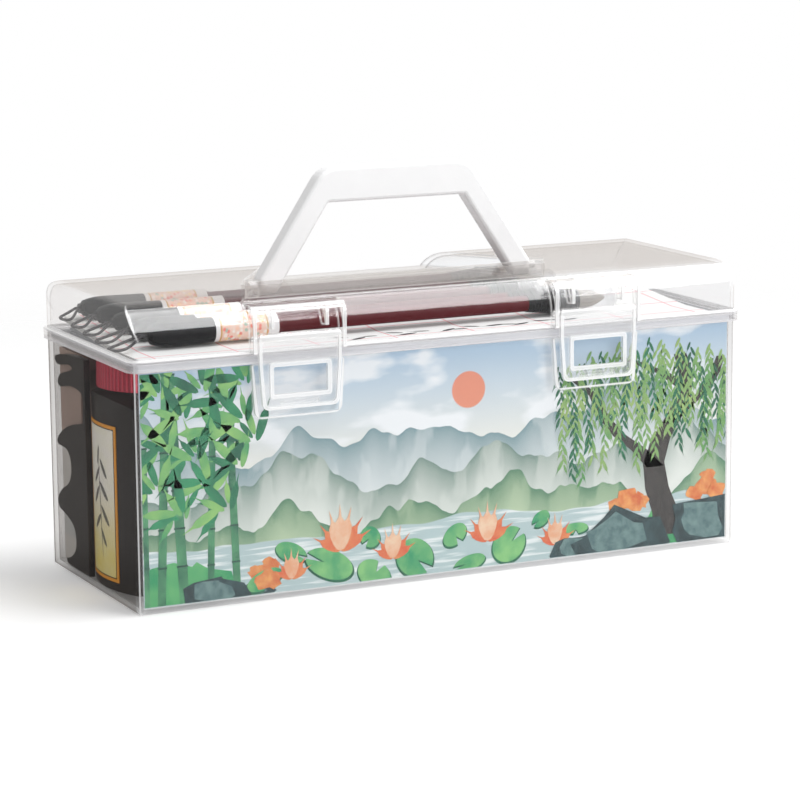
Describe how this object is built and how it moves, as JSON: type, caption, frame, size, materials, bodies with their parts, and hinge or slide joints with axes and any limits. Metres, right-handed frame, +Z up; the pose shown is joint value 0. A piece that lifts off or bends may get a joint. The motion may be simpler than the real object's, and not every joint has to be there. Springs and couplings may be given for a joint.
{
  "type": "calligraphy set box",
  "caption": "Clear hinged carry case with a folding handle and snap latches, holding brushes in a tray, ink, a brush rest and cartons.",
  "frame": {"origin": "under the middle of the case, on the face that it stands on", "axes": "+X along the case to the right as its latches are faced, -Y towards its latches, +Z up"},
  "size_m": [0.3308, 0.1314, 0.1997],
  "materials": {
    "clear_plastic": "clear moulded plastic, glossy",
    "white_plastic": "smooth satin gloss",
    "pin_metal": "drawn wire",
    "tray_plastic": "thin pale formed sheet",
    "felt": "grey felt",
    "paper": "matte white sheets with red guide lines",
    "printed_card": "coated card, printed in greens",
    "dark_bottle": "dark glossy bottle",
    "ink": "liquid ink",
    "red_plastic": "moulded cap",
    "label_paper": "printed label with a gold border",
    "dark_rest": "dark matte moulding",
    "brown_card": "plain brown card",
    "pale_card": "plain pale card",
    "black_knob": "glossy black",
    "red_lacquer": "dark red lacquer",
    "printed_sleeve": "mottled pink print",
    "black_ferrule": "glossy black",
    "bristle": "starched bristle, drawn to a point",
    "loop_cord": "dark waxed cord"
  },
  "bodies": {
    "tub": {"tub": "clear_plastic", "hinge_pin_left": "pin_metal", "hinge_pin_right": "pin_metal", "tray": "tray_plastic", "felt_mat": "felt", "practice_paper": "paper", "printed_card": "printed_card", "ink_bottle": "dark_bottle", "ink": "ink", "bottle_label": "label_paper", "brush_rest": "dark_rest", "upper_carton": "brown_card", "lower_carton": "pale_card", "brush_1_knob": "black_knob", "brush_1_shaft": "red_lacquer", "brush_1_sleeve": "printed_sleeve", "brush_1_ferrule": "black_ferrule", "brush_1_bristles": "bristle", "brush_1_loop": "loop_cord", "brush_2_knob": "black_knob", "brush_2_shaft": "red_lacquer", "brush_2_sleeve": "printed_sleeve", "brush_2_ferrule": "black_ferrule", "brush_2_bristles": "bristle", "brush_2_loop": "loop_cord", "brush_3_knob": "black_knob", "brush_3_shaft": "red_lacquer", "brush_3_sleeve": "printed_sleeve", "brush_3_ferrule": "black_ferrule", "brush_3_bristles": "bristle", "brush_3_loop": "loop_cord", "brush_4_knob": "black_knob", "brush_4_shaft": "red_lacquer", "brush_4_sleeve": "printed_sleeve", "brush_4_ferrule": "black_ferrule", "brush_4_bristles": "bristle", "brush_4_loop": "loop_cord", "brush_5_knob": "black_knob", "brush_5_shaft": "red_lacquer", "brush_5_sleeve": "printed_sleeve", "brush_5_ferrule": "black_ferrule", "brush_5_bristles": "bristle", "brush_5_loop": "loop_cord"},
    "lid": {"lid": "clear_plastic"},
    "handle": {"carry_handle": "white_plastic"},
    "latch_left": {"latch_left": "clear_plastic"},
    "latch_right": {"latch_right": "clear_plastic"},
    "ink_cap": {"ink_cap": "red_plastic"},
    "brush_cap_1": {"brush_1_cap": "clear_plastic"},
    "brush_cap_2": {"brush_2_cap": "clear_plastic"},
    "brush_cap_3": {"brush_3_cap": "clear_plastic"},
    "brush_cap_4": {"brush_4_cap": "clear_plastic"},
    "brush_cap_5": {"brush_5_cap": "clear_plastic"}
  },
  "joints": [
    {"name": "lid_open", "type": "hinge", "parent": "tub", "child": "lid", "pos_m": [0, 0.0635, 0.117], "axis": [-1, 0, 0], "range_deg": [0, 105]},
    {"name": "handle_fold", "type": "hinge", "parent": "lid", "child": "handle", "pos_m": [0, 0, 0.1434], "axis": [-1, 0, 0], "range_deg": [0, 90]},
    {"name": "latch_left_open", "type": "hinge", "parent": "lid", "child": "latch_left", "pos_m": [-0.0806, -0.0635, 0.1278], "axis": [-1, 0, 0], "range_deg": [0, 115]},
    {"name": "latch_right_open", "type": "hinge", "parent": "lid", "child": "latch_right", "pos_m": [0.0806, -0.0635, 0.1278], "axis": [-1, 0, 0], "range_deg": [0, 115]},
    {"name": "ink_cap_turn", "type": "hinge", "parent": "tub", "child": "ink_cap", "pos_m": [-0.13138, -0.005, 0.1], "axis": [0, 0, 1], "range_deg": [0, 90]},
    {"name": "brush_cap_1_slide", "type": "slide", "parent": "tub", "child": "brush_cap_1", "axis": [1, 0, 0], "range_m": [0, 0.04]},
    {"name": "brush_cap_2_slide", "type": "slide", "parent": "tub", "child": "brush_cap_2", "axis": [1, 0, 0], "range_m": [0, 0.04]},
    {"name": "brush_cap_3_slide", "type": "slide", "parent": "tub", "child": "brush_cap_3", "axis": [1, 0, 0], "range_m": [0, 0.04]},
    {"name": "brush_cap_4_slide", "type": "slide", "parent": "tub", "child": "brush_cap_4", "axis": [1, 0, 0], "range_m": [0, 0.04]},
    {"name": "brush_cap_5_slide", "type": "slide", "parent": "tub", "child": "brush_cap_5", "axis": [1, 0, 0], "range_m": [0, 0.04]}
  ]
}
